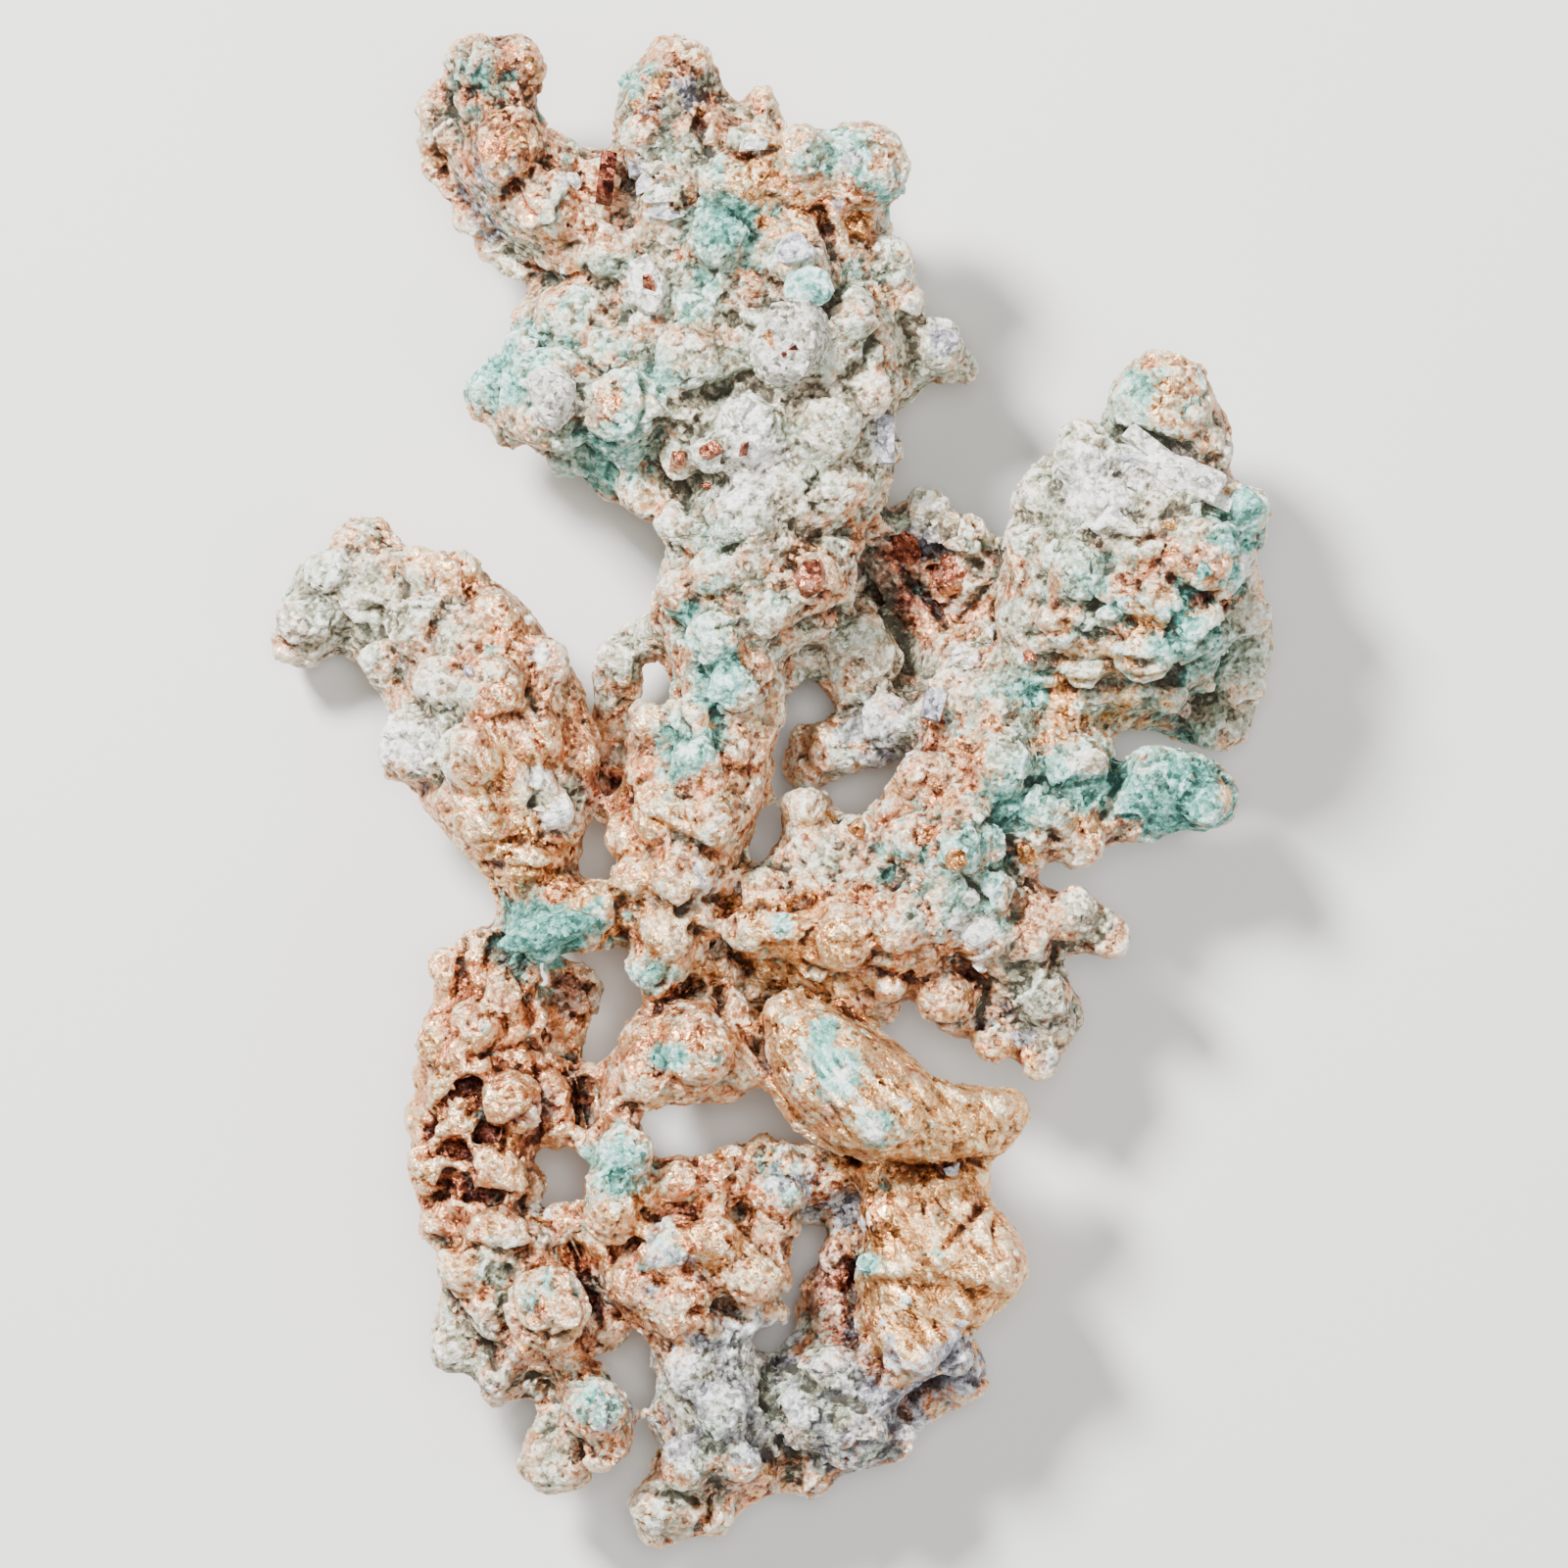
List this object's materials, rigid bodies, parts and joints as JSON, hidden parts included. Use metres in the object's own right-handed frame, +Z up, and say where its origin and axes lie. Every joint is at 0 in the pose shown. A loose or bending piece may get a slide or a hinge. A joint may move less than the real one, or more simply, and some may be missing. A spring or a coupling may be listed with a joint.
{
  "type": "native copper nugget",
  "caption": "Flat branching specimen of native copper, lumpy and pierced, crusted with pale grains and green patina, lying on its back.",
  "frame": {"origin": "centre of the bounding box's base, on the surface that the nugget lies on", "axes": "+Y along the nugget's length, from the root to the crown; +Z up, away from the surface it lies on; +X across its width"},
  "size_m": [0.0832, 0.1246, 0.021],
  "materials": {
    "crown": "native copper with a thin mineral crust",
    "trunk": "native copper with a thin mineral crust",
    "left_arm": "native copper with a thin mineral crust",
    "right_arm": "native copper with a thin mineral crust",
    "right_club": "native copper with a thin mineral crust",
    "lower_left": "native copper with a thin mineral crust",
    "lower_middle": "native copper with a thin mineral crust",
    "lower_right": "native copper with a thin mineral crust"
  },
  "bodies": {
    "root": {"crown": "crown", "trunk": "trunk", "left_arm": "left_arm", "right_arm": "right_arm", "right_club": "right_club", "lower_left": "lower_left", "lower_middle": "lower_middle", "lower_right": "lower_right"}
  },
  "joints": []
}
